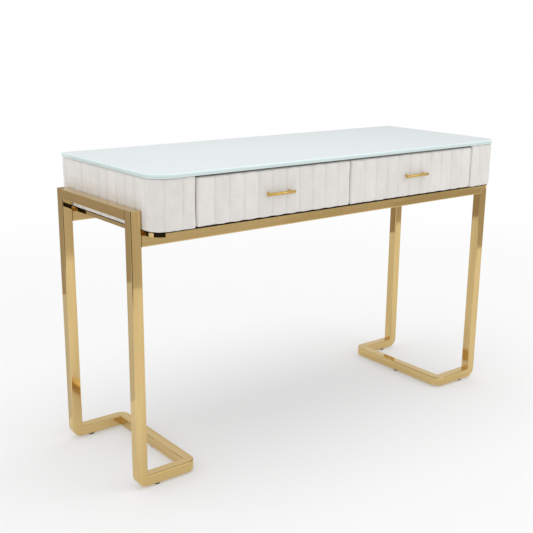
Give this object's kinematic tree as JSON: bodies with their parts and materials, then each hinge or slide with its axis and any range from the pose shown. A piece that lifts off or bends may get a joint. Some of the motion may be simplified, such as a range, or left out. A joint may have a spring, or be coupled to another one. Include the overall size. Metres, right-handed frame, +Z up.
{
  "type": "vanity table",
  "caption": "Console vanity table: channel-padded case with side-by-side drawers under a glass top, on gold square-tube end frames with inward-turned feet.",
  "frame": {"origin": "on the floor, under the centre of the whole box, pulls included", "axes": "+X to the right along the table, +Y to the back (the drawers open towards -Y), +Z up"},
  "size_m": [1.2, 0.456, 0.75],
  "materials": {
    "gold_steel": "mirror polished, champagne gold",
    "ivory_cloth": "short-pile ivory upholstery cloth",
    "case_board": "raw fibreboard",
    "drawer_board": "pale laminated board",
    "dark_board": "black painted board",
    "zinc_steel": "zinc plated",
    "black_plastic": "matt black",
    "white_glass": "back-painted white, polished edge"
  },
  "bodies": {
    "table": {"left_front_leg": "gold_steel", "left_rear_leg": "gold_steel", "left_front_foot_arm": "gold_steel", "left_rear_foot_arm": "gold_steel", "left_floor_rail": "gold_steel", "left_side_rail": "gold_steel", "right_front_leg": "gold_steel", "right_rear_leg": "gold_steel", "right_front_foot_arm": "gold_steel", "right_rear_foot_arm": "gold_steel", "right_floor_rail": "gold_steel", "right_side_rail": "gold_steel", "front_cross_rail": "gold_steel", "rear_cross_rail": "gold_steel", "foot_glides": "black_plastic", "base_screws": "zinc_steel", "base_board": "dark_board", "base_edge_band": "gold_steel", "case_bottom": "case_board", "case_top": "case_board", "case_back": "case_board", "centre_divider": "case_board", "left_side_board": "case_board", "right_side_board": "case_board", "left_corner_block": "case_board", "right_corner_block": "case_board", "left_bay_panel": "case_board", "right_bay_panel": "case_board", "left_padded_cover": "ivory_cloth", "right_padded_cover": "ivory_cloth", "back_cover": "ivory_cloth", "glass_top": "white_glass", "left_runner_case_rails": "zinc_steel", "right_runner_case_rails": "zinc_steel"},
    "left_drawer": {"left_drawer_front": "drawer_board", "left_drawer_front_pad": "ivory_cloth", "left_drawer_box_front": "drawer_board", "left_drawer_box_sides": "drawer_board", "left_drawer_box_back": "drawer_board", "left_drawer_bottom": "drawer_board", "left_pull_bar": "gold_steel", "left_pull_posts": "gold_steel", "left_pull_screws": "zinc_steel", "left_runner_box_rails": "zinc_steel"},
    "left_runner_mid": {"left_runner_mid_rails": "zinc_steel"},
    "right_drawer": {"right_drawer_front": "drawer_board", "right_drawer_front_pad": "ivory_cloth", "right_drawer_box_front": "drawer_board", "right_drawer_box_sides": "drawer_board", "right_drawer_box_back": "drawer_board", "right_drawer_bottom": "drawer_board", "right_pull_bar": "gold_steel", "right_pull_posts": "gold_steel", "right_pull_screws": "zinc_steel", "right_runner_box_rails": "zinc_steel"},
    "right_runner_mid": {"right_runner_mid_rails": "zinc_steel"}
  },
  "joints": [
    {"name": "left_drawer_slide", "type": "slide", "parent": "table", "child": "left_drawer", "axis": [0, -1, 0], "range_m": [0, 0.3]},
    {"name": "left_runner_slide", "type": "slide", "parent": "table", "child": "left_runner_mid", "axis": [0, -1, 0], "range_m": [0, 0.15]},
    {"name": "right_drawer_slide", "type": "slide", "parent": "table", "child": "right_drawer", "axis": [0, -1, 0], "range_m": [0, 0.3]},
    {"name": "right_runner_slide", "type": "slide", "parent": "table", "child": "right_runner_mid", "axis": [0, -1, 0], "range_m": [0, 0.15]}
  ],
  "couplings": [
    {"joint": "left_runner_slide", "follows": "left_drawer_slide", "ratio": 0.5},
    {"joint": "right_runner_slide", "follows": "right_drawer_slide", "ratio": 0.5}
  ]
}
